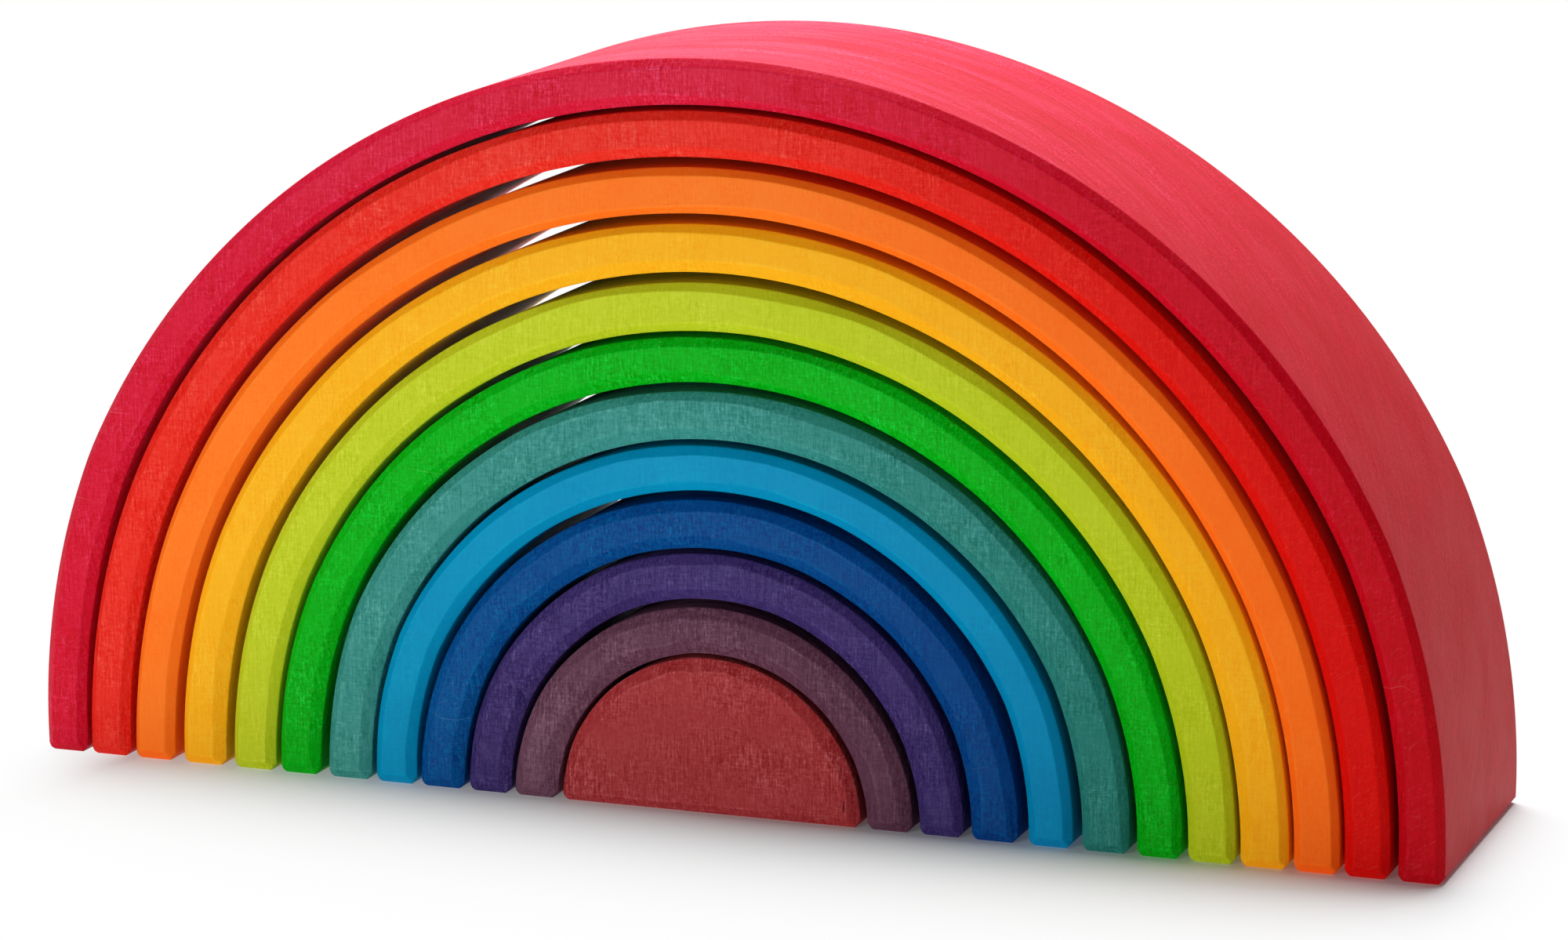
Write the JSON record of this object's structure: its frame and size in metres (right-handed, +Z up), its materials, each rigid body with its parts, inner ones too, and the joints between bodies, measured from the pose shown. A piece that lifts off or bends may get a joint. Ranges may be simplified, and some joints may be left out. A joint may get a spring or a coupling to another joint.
{
  "type": "rainbow stacker",
  "caption": "Nest of bevelled wooden arches round a solid half disc, each stained its own rainbow colour; the loose pieces slide out of the nest for stacking and building.",
  "frame": {"origin": "middle of the nest's footprint, on the surface that it stands on", "axes": "+X along the length of the nest, to the right as seen from the front; +Y from the front faces to the back faces; +Z up"},
  "size_m": [0.363, 0.078, 0.1847],
  "materials": {
    "crimson_stain": "matte",
    "red_stain": "matte",
    "orange_stain": "matte",
    "yellow_stain": "matte",
    "lime_stain": "matte",
    "green_stain": "matte",
    "teal_stain": "matte",
    "light_blue_stain": "matte",
    "blue_stain": "matte",
    "violet_stain": "matte",
    "mauve_stain": "matte",
    "dark_red_stain": "matte"
  },
  "bodies": {
    "crimson_arch": {"crimson_arch": "crimson_stain"},
    "red_arch": {"red_arch": "red_stain"},
    "orange_arch": {"orange_arch": "orange_stain"},
    "yellow_arch": {"yellow_arch": "yellow_stain"},
    "lime_arch": {"lime_arch": "lime_stain"},
    "green_arch": {"green_arch": "green_stain"},
    "teal_arch": {"teal_arch": "teal_stain"},
    "light_blue_arch": {"light_blue_arch": "light_blue_stain"},
    "blue_arch": {"blue_arch": "blue_stain"},
    "violet_arch": {"violet_arch": "violet_stain"},
    "mauve_arch": {"mauve_arch": "mauve_stain"},
    "core_half_disc": {"core_half_disc": "dark_red_stain"}
  },
  "joints": [
    {"name": "red_slide", "type": "slide", "parent": "crimson_arch", "child": "red_arch", "axis": [0, 1, 0], "range_m": [-0.085, 0.085]},
    {"name": "orange_slide", "type": "slide", "parent": "crimson_arch", "child": "orange_arch", "axis": [0, 1, 0], "range_m": [-0.085, 0.085]},
    {"name": "yellow_slide", "type": "slide", "parent": "crimson_arch", "child": "yellow_arch", "axis": [0, 1, 0], "range_m": [-0.085, 0.085]},
    {"name": "lime_slide", "type": "slide", "parent": "crimson_arch", "child": "lime_arch", "axis": [0, 1, 0], "range_m": [-0.085, 0.085]},
    {"name": "green_slide", "type": "slide", "parent": "crimson_arch", "child": "green_arch", "axis": [0, 1, 0], "range_m": [-0.085, 0.085]},
    {"name": "teal_slide", "type": "slide", "parent": "crimson_arch", "child": "teal_arch", "axis": [0, 1, 0], "range_m": [-0.085, 0.085]},
    {"name": "light_blue_slide", "type": "slide", "parent": "crimson_arch", "child": "light_blue_arch", "axis": [0, 1, 0], "range_m": [-0.085, 0.085]},
    {"name": "blue_slide", "type": "slide", "parent": "crimson_arch", "child": "blue_arch", "axis": [0, 1, 0], "range_m": [-0.085, 0.085]},
    {"name": "violet_slide", "type": "slide", "parent": "crimson_arch", "child": "violet_arch", "axis": [0, 1, 0], "range_m": [-0.085, 0.085]},
    {"name": "mauve_slide", "type": "slide", "parent": "crimson_arch", "child": "mauve_arch", "axis": [0, 1, 0], "range_m": [-0.085, 0.085]},
    {"name": "core_slide", "type": "slide", "parent": "crimson_arch", "child": "core_half_disc", "axis": [0, 1, 0], "range_m": [-0.085, 0.085]}
  ]
}
